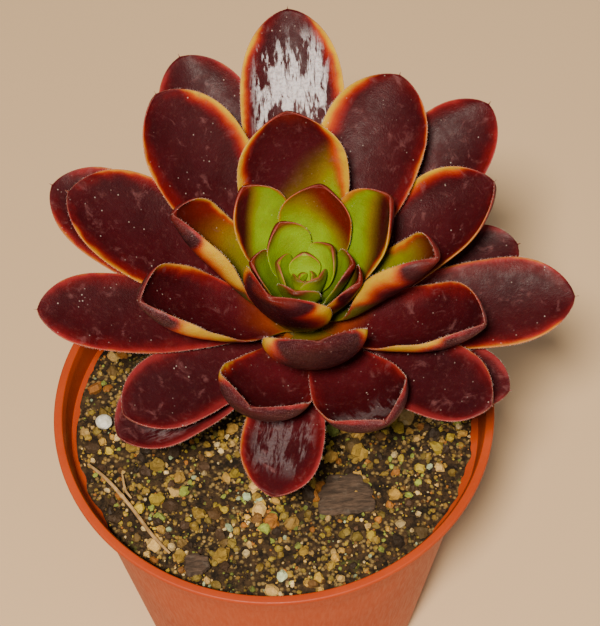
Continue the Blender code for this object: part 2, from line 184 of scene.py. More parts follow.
# gold_a, gold_b: yellow on the margin towards and away from the spiral's turn. rose: wide pink margin.
# green: how far up the blade the green reaches. body: colour of the blade above that.
# The streaked pale film: how much of it, part real wax bloom and part painted glare, and the shares of the
# length between which it lies.
# lopsided: how much lower the body colour comes on side a than on side b.
NO_WAX_OR_GLARE = (0, 0.3, 0.9)
Look = namedtuple("Look", "gold_a gold_b rose green body wax lopsided", defaults=(0.04, MAROON, NO_WAX_OR_GLARE, 0))
LOOKS = {
    0: Look(0, 0, 0, 1.1, RED_BROWN),
    1: Look(0, 0, 0, 1.1, RED_BROWN),
    2: Look(0, 0, 0, 1.1, RED_BROWN),
    3: Look(0, 0, 0.1, 1.05, RED_BROWN),
    4: Look(0, 0, 0.1, 1.05, RED_BROWN),
    5: Look(0, 0, 0.1, 1, RED_BROWN),
    6: Look(0, 0, 0.1, 1, RED_BROWN),
    7: Look(0.2, 0.2, 0.1, 0.98, RED_BROWN),
    8: Look(0.3, 0.2, 0.1, 0.76, RED_BROWN, lopsided=-0.6),
    9: Look(0.3, 0.3, 0.1, 0.75),
    10: Look(0.6, 0.1, 0.1, 0.82, lopsided=1.2),
    11: Look(0.4, 0.7, 0.1, 0.74, lopsided=-1.2),
    12: Look(1, 0.8, 0.1, 0.6),
    13: Look(0.9, 0.9, 0, 0.52, lopsided=0.8),
    14: Look(0.5, 1, 0.1, 0.72, RED_BROWN),
    15: Look(1, 0.5, 0.1, 0.62, RED_BROWN),
    16: Look(1, 0.25, 0.1),
    17: Look(0.9, 0.9, 0.1, 0.2, RED_BROWN),
    18: Look(0.3, 1, 0.1),
    19: Look(0.2, 0.6, 0.4, 0.06),
    20: Look(0.9, 0.4, 0.2, 0.1),
    # Leaves 21 and 29 carry the heaviest pale streaks: painted glare over a wax bloom on their upper faces.
    21: Look(0.6, 0.8, 0.2, wax=(1, 0.22, 0.95)),
    22: Look(0.1, 0.1, 0.5, 0.06, wax=(0.12, 0.55, 0.9)),
    23: Look(0.4, 0.35, 0.2),
    24: Look(0.8, 0.3, 0.2),
    25: Look(0.05, 0.7, 0.4, 0.06),
    26: Look(0.1, 0.1, 0.7),
    27: Look(0.1, 0, 0.9, 0.04, DUSK),
    28: Look(0.1, 0.1, 0.6),
    29: Look(0.1, 0, 0.5, wax=(0.9, 0.12, 0.5)),
    30: Look(0, 0.2, 0.8, wax=(0.12, 0.4, 0.9)),
    31: Look(0.2, 0.2, 0.7),
    32: Look(0.2, 0.3, 0.7),
    33: Look(0, 0, 0.9, 0.04, DUSK),
    34: Look(0, 0, 0.8, 0.04, DUSK),
    35: Look(0, 0, 0.9, 0.04, DUSK),
    37: Look(0, 0, 0.9, 0.04, DUSK),
    41: Look(0, 0, 1, wax=(0.18, 0.5, 0.9)),
}


# ---- mesh helpers


def add_object(name, data):
    """A new object in the scene."""
    made = bpy.data.objects.new(name, data)
    bpy.context.scene.collection.objects.link(made)
    return made


def make_mesh(name, points, faces):
    """A mesh of an array of points and a list of arrays of faces."""
    mesh = bpy.data.meshes.new(name)
    mesh.from_pydata(points.tolist(), [], [face for block in faces for face in block.tolist()])
    mesh.update()
    return mesh


def add_piece(name, points, faces, finish, slot, nodes=(), smooth=True):
    """A new object at the origin from whole arrays of points and faces, riding on the one body."""
    mesh = make_mesh(name, points, faces)
    if smooth:
        mesh.shade_smooth()
    piece = add_object(name, mesh)
    mesh.materials.append(finish)
    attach(piece, "root")
    if nodes:
        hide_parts(*nodes)
    return piece


def add_skin(name, rings, finish, slot, nodes):
    """A new piece that is the closed skin of its rings."""
    return add_piece(name, *ring_skin(rings), finish, slot, nodes)


def set_colour(piece, name, values):
    """Stores a linear colour for each point."""
    layer = piece.data.attributes.new(name, "FLOAT_COLOR", "POINT")
    full = np.ones((len(values), 4))
    full[:, :3] = values
    layer.data.foreach_set("color", full.ravel())


def set_vector(piece, name, values):
    """Stores three numbers for each point."""
    layer = piece.data.attributes.new(name, "FLOAT_VECTOR", "POINT")
    layer.data.foreach_set("vector", np.ascontiguousarray(values, dtype=float).ravel())


def ring_skin(rings):
    """A closed skin over rings of points, each ring closed round and both ends closed to their middles.

    Its faces are turned outwards by the sign of the volume that they enclose."""
    count, around = rings.shape[:2]
    points = np.concatenate([rings.reshape(-1, 3), [rings[0].mean(0)], [rings[-1].mean(0)]])
    here = np.arange(count * around).reshape(count, around)
    after = np.roll(here, -1, axis=1)
    quads = np.stack([here[:-1], after[:-1], after[1:], here[1:]], -1).reshape(-1, 4)
    first = np.stack([after[0], here[0], np.full(around, count * around)], -1)
    last = np.stack([here[-1], after[-1], np.full(around, count * around + 1)], -1)
    triangles = np.concatenate([first, last])
    halves = np.concatenate([quads[:, [0, 1, 2]], quads[:, [0, 2, 3]], triangles])
    a, b, c = (points[halves[:, i]] - points[0] for i in range(3))
    if np.einsum("ij,ij->i", a, np.cross(b, c)).sum() < 0:
        quads, triangles = quads[:, ::-1], triangles[:, ::-1]
    return points, [quads, triangles]


def with_ends(values):
    """Values on a ring skin's points: those of its rings, then the means of the first and last ring."""
    flat = values.reshape(-1, *values.shape[2:])
    return np.concatenate([flat, [values[0].mean(0)], [values[-1].mean(0)]])


def circle(count):
    """Evenly spaced angles once round."""
    return np.linspace(0, 2 * np.pi, count, endpoint=False)


def unit(vectors):
    """The vectors with their lengths made 1."""
    return vectors / np.linalg.norm(vectors, axis=-1, keepdims=True)


def ball(lift, turn):
    """Points of a unit ball at latitudes and longitudes."""
    return np.stack([np.cos(lift) * np.cos(turn), np.cos(lift) * np.sin(turn), np.sin(lift)], -1)


def turned_rings(profile, around):
    """Rings of a profile of (radius, height) points carried round Z."""
    angle = circle(around)
    radius, height = profile[:, 0, None], profile[:, 1, None]
    return np.stack([radius * np.cos(angle), radius * np.sin(angle), height + 0 * angle], -1)


def tube_rings(path, radius, turn, hint, depth=1):
    """Rings square to a path: the radius times cosine to one side and sine to the other, times a depth.

    The first side is square to the path and to the hint."""
    ahead = unit(np.gradient(path, axis=0))
    flank = unit(np.cross(ahead, hint))
    front = np.cross(flank, ahead)
    return path[:, None] + radius[..., None] * (
        np.cos(turn)[:, None] * flank[:, None] + depth * np.sin(turn)[:, None] * front[:, None]
    )


def ramp(low, high, value):
    """0 below low, 1 above high, and a smooth climb between."""
    share = np.clip((value - low) / (high - low), 0, 1)
    return share * share * (3 - 2 * share)


def blend(first, second, share):
    """From the first colour to the second by one share, or by a share for each point."""
    share = np.expand_dims(np.clip(share, 0, 1), -1)
    return first * (1 - share) + second * share


def ripples(place, seed, waves=7, longest=0.012, shortest=0.003):
    """A smooth uneven field from -1 to 1 on points: the mean of plane sine waves of mixed direction."""
    draw = np.random.default_rng(seed)
    heading = unit(draw.normal(size=(waves, place.shape[-1])))
    length = draw.uniform(shortest, longest, waves)
    phase = draw.uniform(0, 2 * np.pi, waves)
    return np.sin(2 * np.pi * (place @ heading.T) / length + phase).mean(-1) * 1.6


# ---- material helpers


class Finish:
    """A material's node tree, with short calls for the nodes that the finishes below are made from."""

    def __init__(self, name, roughness, **sockets):
        """A material with its roughness and, by their names, its other even settings."""
        self.material = bpy.data.materials.new(name)
        self.material.use_nodes = True
        self.tree = self.material.node_tree
        self.shader = self.tree.nodes["Principled BSDF"]
        self.plug(self.shader, {"Roughness": roughness})
        self.plug(self.shader, {socket.replace("_", " "): value for socket, value in sockets.items()})
        self.place = self.node("TexCoord", "Object")

    def plug(self, made, inputs):
        """Links each input to its source, or sets it where the source is a value."""
        for socket, source in inputs.items():
            if isinstance(source, bpy.types.NodeSocket):
                self.tree.links.new(source, made.inputs[socket])
            else:
                made.inputs[socket].default_value = source

    def node(self, kind, output=0, inputs={}, **settings):
        """One output of a new node."""
        made = self.tree.nodes.new("ShaderNode" + kind)
        for key, value in settings.items():
            setattr(made, key, value)
        self.plug(made, inputs)
        return made.outputs[output]

    def attribute(self, name, output="Color"):
        """What a mesh stores for its points under a name."""
        return self.node("Attribute", output, attribute_name=name)

    def stretched(self, source, scale):
        """A place with each axis scaled by its own number."""
        return self.node("Mapping", 0, {"Vector": source, "Scale": scale})

    def noise(self, scale, detail=3, rough=0.55, place=None, warp=0):
        """Cloudy noise, of the object's own place unless another is given."""
        inputs = {"Scale": scale, "Detail": detail, "Roughness": rough, "Distortion": warp}
        return self.node("TexNoise", "Fac", {"Vector": place or self.place, **inputs})

    def cells(self, scale):
        """Distance to the nearest of many scattered points."""
        return self.node("TexVoronoi", "Distance", {"Vector": self.place, "Scale": scale})

    def levels(self, source, low, high, to_low=0, to_high=1):
        """A smooth climb from one level to another as the source goes from low to high."""
        inputs = {0: source, 1: low, 2: high, 3: to_low, 4: to_high}
        return self.node("MapRange", 0, inputs, interpolation_type="SMOOTHSTEP")

    def times(self, first, second):
        """The product of two sources, or of a source and a number."""
        return self.node("Math", 0, {0: first, 1: second}, operation="MULTIPLY")

    def mix(self, share, first, second, blend_type="MIX"):
        """From the first colour to the second by a share."""
        first, second = ((*colour, 1) if isinstance(colour, tuple) else colour for colour in (first, second))
        return self.node("Mix", 2, {0: share, 6: first, 7: second}, data_type="RGBA", blend_type=blend_type)

    def bump(self, height, distance, strength=1, below=None):
        """A normal tipped by a height, over another normal where one is given."""
        inputs = {"Height": height, "Strength": strength, "Distance": distance}
        return self.node("Bump", 0, {**inputs, "Normal": below} if below else inputs)

    def wear(self, colour, roughness=None, normal=None):
        """The material, with what drives its colour, roughness and normal."""
        inputs = {"Base Color": colour, "Roughness": roughness, "Normal": normal}
        self.plug(self.shader, {socket: source for socket, source in inputs.items() if source})
        return self.material


def leaf_finish(name, dust, gloss):
    """Waxy leaf skin: painted tint, cloudy mottling, smudges, dust specks, pale fuzz, and pale streaks that
    are part wax bloom and part painted glare.
    """
    skin = Finish(
        name, gloss, Subsurface_Weight=0.12, Subsurface_Radius=(1.0, 0.35, 0.15), Subsurface_Scale=0.002,
        Coat_Weight=0.01, Coat_Roughness=0.3, Specular_IOR_Level=0.09,
    )
    marks = skin.attribute("marks", "Vector")
    wax, hairy, age = (skin.node("SeparateXYZ", axis, {0: marks}) for axis in "XYZ")
    tint = skin.attribute("tint")
    cloud = skin.levels(skin.noise(170, 4, 0.6), 0.32, 0.7)
    tint = skin.mix(skin.times(cloud, 0.45), tint, (0.62, 0.42, 0.42), "MULTIPLY")
    grain = skin.levels(skin.noise(900, 4, 0.7), 0.52, 0.72)
    tint = skin.mix(skin.times(grain, 0.035), tint, (0.50, 0.20, 0.16))
    smudge = skin.levels(skin.noise(260, 5, 0.62, warp=0.6), 0.56, 0.74)
    smudge = skin.times(skin.times(smudge, age), dust)
    tint = skin.mix(smudge, tint, (0.17, 0.060, 0.060))
    speck = skin.levels(skin.cells(650), 0.16, 0.05)
    chosen = skin.levels(skin.noise(240, 2, 0.5), 0.52, 0.62)
    speck = skin.times(skin.times(speck, chosen), skin.times(age, 0.36))
    tint = skin.mix(speck, tint, (0.72, 0.6, 0.52))
    fine_hair = skin.noise(5200, 2, 0.7)
    frost = skin.times(skin.levels(fine_hair, 0.45, 0.75), skin.times(hairy, 0.2))
    tint = skin.mix(frost, tint, (0.56, 0.32, 0.32))
    # Pale streaked film on the upper face: part wax bloom, part painted glare of the light.
    blade = skin.attribute("blade", "Vector")
    streak = skin.noise(1, 6, 0.68, skin.stretched(blade, (950, 190, 1)), 0.8)
    patch = skin.noise(1, 3, 0.6, skin.stretched(blade, (210, 90, 1)), 0.4)
    wax_and_glare_film = skin.levels(skin.times(streak, skin.levels(patch, 0.3, 0.62, 0.6, 1.25)), 0.44, 0.6)
    wax_and_glare_film = skin.times(wax_and_glare_film, skin.times(wax, skin.levels(skin.noise(1400, 4, 0.7), 0.3, 0.62, 0.5, 1)))
    tint = skin.mix(skin.times(wax_and_glare_film, 0.85), tint, (0.66, 0.60, 0.62))
    rough = skin.levels(skin.noise(420, 4, 0.6), 0.3, 0.75, gloss - 0.1, gloss + 0.16)
    relief = skin.noise(1500, 5, 0.65)
    pebbled = skin.cells(2600)
    normal = skin.bump(relief, 0.00018, 0.5)
    normal = skin.bump(pebbled, 0.00005, 0.5, normal)
    return skin.wear(tint, rough, normal)


def hair_finish():
    """Pale translucent hairs, uneven from leaf to leaf."""
    hair = Finish("margin_hair", 0.5, Sheen_Weight=0.2)
    shade = hair.noise(400, 2)
    return hair.wear(hair.mix(shade, (0.55, 0.36, 0.32), (0.82, 0.66, 0.6)))


def pot_finish():
    """Moulded terracotta-coloured plastic: slight mottling, fine orange-peel bump and rubbed dust."""
    pot = Finish("terracotta_plastic", 0.5, Specular_IOR_Level=0.28, Subsurface_Weight=0.05,
                 Subsurface_Radius=(1.0, 0.3, 0.1), Subsurface_Scale=0.002)
    cloud = pot.noise(28, 5, 0.6)
    colour = pot.mix(pot.levels(cloud, 0.35, 0.7), (0.34, 0.038, 0.005), (0.40, 0.050, 0.007))
    dust = pot.levels(pot.noise(130, 6, 0.7), 0.58, 0.78)
    colour = pot.mix(pot.times(dust, 0.18), colour, (0.34, 0.15, 0.07))
    speck = pot.levels(pot.cells(420), 0.12, 0.04)
    colour = pot.mix(pot.times(speck, 0.25), colour, (0.20, 0.11, 0.06))
    scuffs = pot.noise(1, 4, 0.6, pot.stretched(pot.place, (1500, 1500, 90)))
    rough = pot.levels(scuffs, 0.3, 0.75, 0.42, 0.6)
    normal = pot.bump(pot.noise(2400, 3, 0.5), 0.00005, 0.5)
    normal = pot.bump(pot.noise(60, 3, 0.5), 0.0004, 0.35, normal)
    return pot.wear(colour, rough, normal)


def soil_finish():
    """Dark crumbly compost with beige sand between the crumbs."""
    soil = Finish("gritty_soil", 0.95, Specular_IOR_Level=0.25)
    crumbs = soil.noise(420, 8, 0.72)
    colour = soil.mix(soil.levels(crumbs, 0.38, 0.64), (0.010, 0.006, 0.003), (0.060, 0.033, 0.014))
    sand = soil.levels(soil.cells(750), 0.5, 0.15)
    where = soil.levels(soil.noise(150, 4, 0.6), 0.42, 0.56)
    colour = soil.mix(soil.times(soil.times(sand, where), 0.8), colour, (0.34, 0.22, 0.07))
    moss = soil.levels(soil.noise(210, 5, 0.65, warp=0.4), 0.6, 0.72)
    colour = soil.mix(soil.times(moss, 0.6), colour, (0.10, 0.13, 0.02))
    normal = soil.bump(crumbs, 0.0012, 0.9)
    normal = soil.bump(soil.noise(1900, 4, 0.7), 0.0003, 0.8, normal)
    return soil.wear(colour, None, normal)


def grain_finish():
    """Gravel and sand grains: each its own tint, with mineral mottling and a rough broken face."""
    stone = Finish("grit_grains", 0.8, Specular_IOR_Level=0.35)
    tint = stone.attribute("tint")
    cloud = stone.levels(stone.noise(700, 5, 0.68), 0.35, 0.68)
    tint = stone.mix(stone.times(cloud, 0.5), tint, (0.45, 0.36, 0.24), "MULTIPLY")
    dirt = stone.levels(stone.noise(330, 6, 0.7), 0.54, 0.7)
    tint = stone.mix(stone.times(dirt, 0.55), tint, (0.05, 0.033, 0.018))
    normal = stone.bump(stone.noise(2100, 5, 0.7), 0.0003, 0.8)
    return stone.wear(tint, stone.levels(cloud, 0, 1, 0.6, 0.9), normal)


def bark_finish():
    """Dark bark with a long grain and weathered grey patches."""
    bark = Finish("bark_chip", 0.85, Specular_IOR_Level=0.3)
    grain = bark.noise(1, 7, 0.68, bark.stretched(bark.place, (260, 1100, 900)))
    colour = bark.mix(bark.levels(grain, 0.35, 0.7), (0.036, 0.022, 0.014), (0.105, 0.062, 0.038))
    grey = bark.levels(bark.noise(380, 5, 0.65), 0.55, 0.72)
    colour = bark.mix(bark.times(grey, 0.4), colour, (0.15, 0.12, 0.09))
    normal = bark.bump(grain, 0.0006, 0.9)
    return bark.wear(colour, None, normal)


def stone_finish():
    """Pale mottled stone with greenish stains."""
    stone = Finish("pale_stone", 0.6, Specular_IOR_Level=0.4)
    cloud = stone.noise(600, 6, 0.65)
    colour = stone.mix(stone.levels(cloud, 0.35, 0.7), (0.50, 0.46, 0.36), (0.80, 0.78, 0.68))
    green = stone.levels(stone.noise(450, 4, 0.6), 0.56, 0.7)
    colour = stone.mix(stone.times(green, 0.5), colour, (0.30, 0.33, 0.20))
    normal = stone.bump(stone.noise(1300, 5, 0.7), 0.0003, 0.8)
    return stone.wear(colour, None, normal)


def straw_finish():
    """Dry straw with fibres along it."""
    straw = Finish("dry_straw", 0.55)
    fibre = straw.noise(1, 5, 0.6, straw.stretched(straw.place, (420, 420, 1600)))
    colour = straw.mix(straw.levels(fibre, 0.3, 0.7), (0.22, 0.12, 0.04), (0.46, 0.28, 0.11))
    return straw.wear(colour, None, straw.bump(fibre, 0.0001, 0.6))


def stem_finish():
    """Corky stem over its painted tint."""
    stem = Finish("corky_stem", 0.8, Specular_IOR_Level=0.3)
    tint = stem.attribute("tint")
    cork = stem.noise(650, 7, 0.68)
    tint = stem.mix(stem.levels(cork, 0.35, 0.68), tint, (0.28, 0.19, 0.13), "MULTIPLY")
    return stem.wear(tint, None, stem.bump(cork, 0.0006, 0.9))


def floor_finish():
    """Plain pale studio floor."""
    floor = Finish("studio_floor", 0.75, Specular_IOR_Level=0.2)
    cloud = floor.noise(3, 3, 0.5)
    return floor.wear(floor.mix(cloud, (0.62, 0.42, 0.24), (0.66, 0.46, 0.275)))


# ---- leaves


def tilt(order):
    """How far the stem tips forward at a leaf's place: none at the heart, full lower down."""
    return np.radians(FORWARD_TILT) * np.clip((order - TILT_STARTS) / (TILT_FULL - TILT_STARTS), 0, 1)


def stem_point(order):
    """The stem's axis at a leaf's place, followed down from the growing tip by its tilt."""
    steps = np.linspace(0, order, MIDRIB_STEPS + 1)
    middle = tilt((steps[1:] + steps[:-1]) / 2)
    stride = LEAF_SPACING * order / MIDRIB_STEPS
    tip_height = SOIL_TOP + STEM_HEIGHT - TOP_BARE_STEM
    back = STEM_TIP_OFFSET[1] + np.sin(middle).sum() * stride
    return np.array([STEM_TIP_OFFSET[0], back, tip_height - np.cos(middle).sum() * stride])


def stem_radius(order):
    """Half the stem's thickness at a leaf's place: it tapers over the youngest leaves."""
    share = min(order / TAPERED_LEAVES, 1)
    return STEM_TIP_RADIUS + (STEM_RADIUS - STEM_TIP_RADIUS) * share


def midrib(leaf, share):
    """Run, climb and pitch along the midrib: pitch is the rise, plus the curl times share to a power."""
    steps = np.linspace(0, 1, MIDRIB_STEPS + 1)
    pitch = np.radians(leaf.rise + leaf.curl * steps**CURL_POWER)
    stride = leaf.length * MM / MIDRIB_STEPS
    middle = (pitch[1:] + pitch[:-1]) / 2
    run = np.concatenate([[0], np.cumsum(np.cos(middle))]) * stride
    climb = np.concatenate([[0], np.cumsum(np.sin(middle))]) * stride
    run, climb, pitch = (np.interp(share, steps, values) for values in (run, climb, pitch))
    inside = np.minimum(share, 0) * leaf.length * MM
    return run + inside * np.cos(pitch), climb + inside * np.sin(pitch), pitch


def half_width(leaf, share):
    """Half the width: a sine rise from a narrow base and a rounded end, joined to a small drawn-out point."""
    blade = np.clip(share / ROUND_END, 0, 1)
    rise = np.sin(np.pi / 2 * np.clip(blade / WIDEST_AT, 0, 1)) ** WAIST_POWER
    past = np.clip((blade - WIDEST_AT) / (1 - WIDEST_AT), 0, 1)
    end = (1 - past**SHOULDER_POWER) ** TIP_POWER
    outline = leaf.width * MM / 2 * (BASE_WIDTH_SHARE + (1 - BASE_WIDTH_SHARE) * rise) * end
    size = min(leaf.width / 20, 1)
    point = POINT_WIDTH * size * np.clip((1 - share) / (1 - POINT_STARTS), 0, 1) ** 1.2
    point *= ramp(0.5, POINT_STARTS, share)
    return np.sqrt(outline**2 + point**2)


def leaf_frame(leaf):
    """Directions outward, across and upward at a leaf's foot, tipped forward with the stem."""
    azimuth = math.radians(FIRST_AZIMUTH - DIVERGENCE * leaf.order + leaf.nudge)
    lean = Matrix.Rotation(float(tilt(leaf.order)), 3, "X")
    outward = np.array(lean @ Vector((math.cos(azimuth), math.sin(azimuth), 0)))
    across = np.array(lean @ Vector((-math.sin(azimuth), math.cos(azimuth), 0)))
    upward = np.array(lean @ Vector((0, 0, 1)))
    return outward, across, upward


def section(leaf, share, side, half):
    """Slope, sideways reach and lift across the blade.

    The slope is the roll, plus the cup times the side, plus the fold times its cube. The other two are the
    sums of its cosine and sine from the midrib, taken at Gauss's points."""
    cup = np.radians(leaf.cup) * (BASE_CUP_SHARE + (1 - BASE_CUP_SHARE) * np.clip(share, 0, 1))
    fold = np.radians(leaf.fold) * ramp(*FOLD_SPAN, share)
    roll = np.radians(leaf.roll) * ramp(*ROLL_SPAN, share)
    places, weights = np.polynomial.legendre.leggauss(GAUSS_POINTS)
    inner = side[..., None] * (places + 1) / 2
    slopes = roll[..., None] + cup[..., None] * inner + fold[..., None] * inner**3
    lateral = half * side * (np.cos(slopes) * weights / 2).sum(-1)
    lift = half * side * (np.sin(slopes) * weights / 2).sum(-1)
    return roll + cup * side + fold * side**3, lateral, lift


def leaf_surface(leaf, share, side, depth):
    """Points at shares of the length, sides from -1 to 1 and depths from -1, lower face, to 1, upper face.

    The midrib's pitch and the arc of the cupped section give the middle surface and its normal. To these
    come a slow twist, a bend to one side, a wavy margin and shallow dents, each its own on every leaf."""
    draw = np.random.default_rng(SHAPE_SEED + leaf.order)
    twist, bend, wave_phase = draw.uniform(-1, 1, 3)
    grown = min(max(leaf.order, 0) / 20, 1)
    outward, across, upward = leaf_frame(leaf)
    run, climb, pitch = midrib(leaf, share)
    half = half_width(leaf, share)
    angle, lateral, lift = section(leaf, share, side, half)
    lateral = lateral + BEND_SHARE * bend * grown * leaf.length * MM * np.clip(share, 0, 1) ** 2
    lift = lift + TWIST_SHARE * twist * grown * half * side * np.clip(share, 0, 1)
    waves = np.sin(2 * np.pi * (WAVES_ALONG * share + wave_phase) + 1.3 * side)
    lift = lift + WAVE_HEIGHT * grown * waves * np.abs(side) ** 4 * ramp(0.2, 0.6, share)
    blade = np.stack([share * leaf.length * MM, lateral], -1)
    dents = ripples(blade, DENT_SEED + leaf.order, 9, 0.02, 0.005)
    lift = lift + DENT_HEIGHT * grown * dents
    plump = np.minimum(1, 0.45 + share / 0.4) * (1 - 0.5 * np.clip(share, 0, 1) ** 3)
    thin = np.minimum(1, half / (1.6 * MM))
    young = 0.55 + 0.45 * min(leaf.width / 16, 1)
    thickness = MARGIN_THICKNESS_SHARE + (1 - MARGIN_THICKNESS_SHARE) * (1 - side**2) * plump
    offset = FLESH / 2 * thickness * thin * young * depth
    radial = run - lift * np.sin(pitch) - offset * np.cos(angle) * np.sin(pitch)
    rising = climb + lift * np.cos(pitch) + offset * np.cos(angle) * np.cos(pitch)
    lateral = lateral - offset * np.sin(angle)
    stand = stem_radius(leaf.order) + CLEARANCE + BLADE_THICKNESS / 2
    foot = stem_point(leaf.order) + outward * stand
    return foot + radial[..., None] * outward + lateral[..., None] * across + rising[..., None] * upward


def leaf_tint(leaf, share, side, depth):
    """Colour over a blade: green up to its reach, its body colour above, and margins of crimson and gold.

    The gold is strongest on the shoulders either side of the dark tip, and wider on the lower face."""
    look = LOOKS[max(leaf.order, 0)]
    half = np.maximum(half_width(leaf, share), LEAST_HALF_WIDTH)
    edge = (1 - np.abs(side)) * half / MM
    place = np.stack([share * leaf.length * MM, side * half], -1)
    uneven = ripples(place, TINT_SEED + leaf.order, 8, 0.03, 0.009)
    fine = ripples(place, FINE_SEED + leaf.order, 9, 0.009, 0.002)
    upper = ramp(-0.2, 0.2, depth)
    mature = ramp(12.5, 18, leaf.order)
    bud = 1 - ramp(0, 7, leaf.order)
    heart = 1 - ramp(7, 13, leaf.order)

    # upper face
    green = blend(DEEP_GREEN, BRIGHT_GREEN, 0.55 + 0.3 * uneven)
    green = blend(green, BUD_GREEN, bud * 0.7)
    green = blend(green, OLIVE, 0.85 * ramp(11.5, 15.5, leaf.order))
    reach = look.green + 0.07 * uneven - 0.3 * look.lopsided * side - 0.12 * heart * side**2
    turn = ramp(reach - 0.22, reach + 0.18, share)
    turning = blend(OLIVE, BROWN_ORANGE, mature)
    face = blend(green, turning, np.clip(turn * 2, 0, 1))
    body = blend(look.body, NIGHT, 0.55 * mature * (0.5 + 0.6 * uneven).clip(0, 1))
    wine = blend(WINE, look.body, ramp(0.15, 0.6, share + 0.08 * uneven))
    body = blend(body, wine, mature * (1 - ramp(0.3, 0.75, share)))
    face = blend(face, body, np.clip(turn * 2 - 1, 0, 1))

    # lower face
    dusky = blend(DUSK, NIGHT, 0.5 + 0.3 * uneven)
    under_reach = 0.9 - 0.5 * ramp(2, 12, leaf.order) - 0.2 * mature
    under = blend(green, OLIVE, 0.4)
    under = blend(under, dusky, ramp(under_reach - 0.2, under_reach + 0.2, share))
    tint = blend(under, face, upper)

    # margins
    rosy = look.rose * (1 + 0.25 * uneven)
    band = (0.7 + 1.3 * rosy) * (0.3 + 0.7 * ramp(3, 16, leaf.order))
    band = band * (1 + 0.45 * ripples(place, BAND_SEED + leaf.order, 6, 0.03, 0.012))
    glow = 1 - ramp(0.25 * band, band, edge + 0.25 * fine)
    glow = glow * ramp(0.12 + 0.5 * heart, 0.35 + 0.55 * heart, share) * (1 - 0.6 * heart)
    rim = blend(CRIMSON, ROSE, look.rose)
    inside = (1 - ramp(0.5, 4.5, edge + 0.8 * fine + uneven)) * upper * mature
    tint = blend(tint, CRIMSON, (0.42 - 0.25 * look.rose) * inside * ramp(0.2, 0.5, share))
    tint = blend(tint, rim, glow * (0.9 - 0.15 * look.rose))
    gold = np.where(side > 0, look.gold_a, look.gold_b) * (1 - 0.7 * heart * upper)
    shoulder = ramp(0.34, 0.62, share) * (1 - ramp(0.88, 0.97, share + 0.02 * uneven))
    low_line = 0.2 * upper * ramp(0.1, 0.3, share) * (1 - ramp(0.9, 0.97, share))
    patch = ramp(0.32, 0.55, share) * (1 - ramp(0.76, 0.92, share + 0.03 * uneven))
    shoulder = np.maximum(patch * (1 - upper) + shoulder * upper, low_line)
    width = (1.0 + 1.3 * upper + 3.6 * (1 - upper)) * gold * shoulder * (1 + 0.3 * uneven)
    margin = np.stack([share * leaf.length * MM, np.sign(side) * 0.05], -1)
    spots = ripples(margin, SPOT_SEED + leaf.order, 6, 0.03, 0.01)
    width = np.maximum(width * (1 + 0.35 * spots), 0.01)
    for colour, amount, full, gone, spare, gain in MARGIN_BANDS:
        band = 1 - ramp(full * width, gone * width + spare, edge + 0.3 * fine)
        tint = blend(tint, colour, amount * band * np.minimum(1, gain * gold * shoulder))
    tip = ramp(0.9, 0.985, share + 0.02 * fine) * (0.9 - 0.6 * bud)
    tint = blend(tint, blend(RED_BROWN, MAROON, mature), tip)
    thread = 1 - ramp(0.04, 0.13, edge)
    edging = blend(PALE_EDGE, BUD_GREEN, heart * (1 - ramp(0.6, 0.9, share)))
    return blend(tint, edging, thread * 0.3 * ramp(0.15, 0.4, share))


def leaf_marks(leaf, share, side, depth):
    """Wax bloom with painted glare, hairiness and dust over a blade, for its finish."""
    look = LOOKS[max(leaf.order, 0)]
    upper = ramp(-0.2, 0.2, depth)
    # The pale streaks on the upper face: wax bloom with painted glare.
    amount, starts, ends = look.wax
    wax = amount * upper * ramp(starts, starts + 0.12, share)
    wax = wax * (1 - ramp(ends - 0.14, ends, share)) * (1 - ramp(0.6, 0.85, np.abs(side)))
    mature = ramp(8, 20, leaf.order)
    hairy = (1 - upper) * mature * (0.4 + 0.6 * ramp(0.3, 0.8, np.abs(side)))
    dusty = (0.25 + 0.75 * mature) * (0.5 + 0.5 * upper) + 0 * side
    return np.stack([wax, hairy, dusty], -1)


def build_leaf(leaf, name, finish, slot):
    """A fleshy blade: rings round the section, whose side is a cosine and depth a flattened sine."""
    even = np.linspace(0, 1, ALONG_CELLS + 1)
    share = (1 + EMBED_SHARE) * np.sin(np.pi / 2 * even) ** 1.15 - EMBED_SHARE
    share, turn = np.meshgrid(share[:-1], circle(AROUND_CELLS), indexing="ij")
    side = np.cos(turn)
    depth = np.sign(np.sin(turn)) * np.abs(np.sin(turn)) ** 0.7
    rings = leaf_surface(leaf, share, side, depth)
    points, faces = ring_skin(rings)
    points[-1] = leaf_surface(leaf, np.array([1.0]), np.array([0.0]), np.array([0.0]))[0]
    piece = add_piece(name, points, faces, finish, slot, [name])
    set_colour(piece, "tint", with_ends(leaf_tint(leaf, share, side, depth)))
    set_vector(piece, "marks", with_ends(leaf_marks(leaf, share, side, depth)))
    across = side * half_width(leaf, share)
    blade = np.stack([across, share * leaf.length * MM, 0 * share + leaf.order], -1)
    set_vector(piece, "blade", with_ends(blade))


BUD_LEAVES = [Leaf(*row) for row in (
    (-1, 0, 80, 14, 8, 5.6, 50),
    (-2, 0, 82, 16, 6.4, 4.6, 50),
    (-3, 0, 84, 18, 5.0, 3.6, 50),
    (-4, 0, 86, 20, 3.8, 2.6, 50),
)]
BUD_CELLS = 28


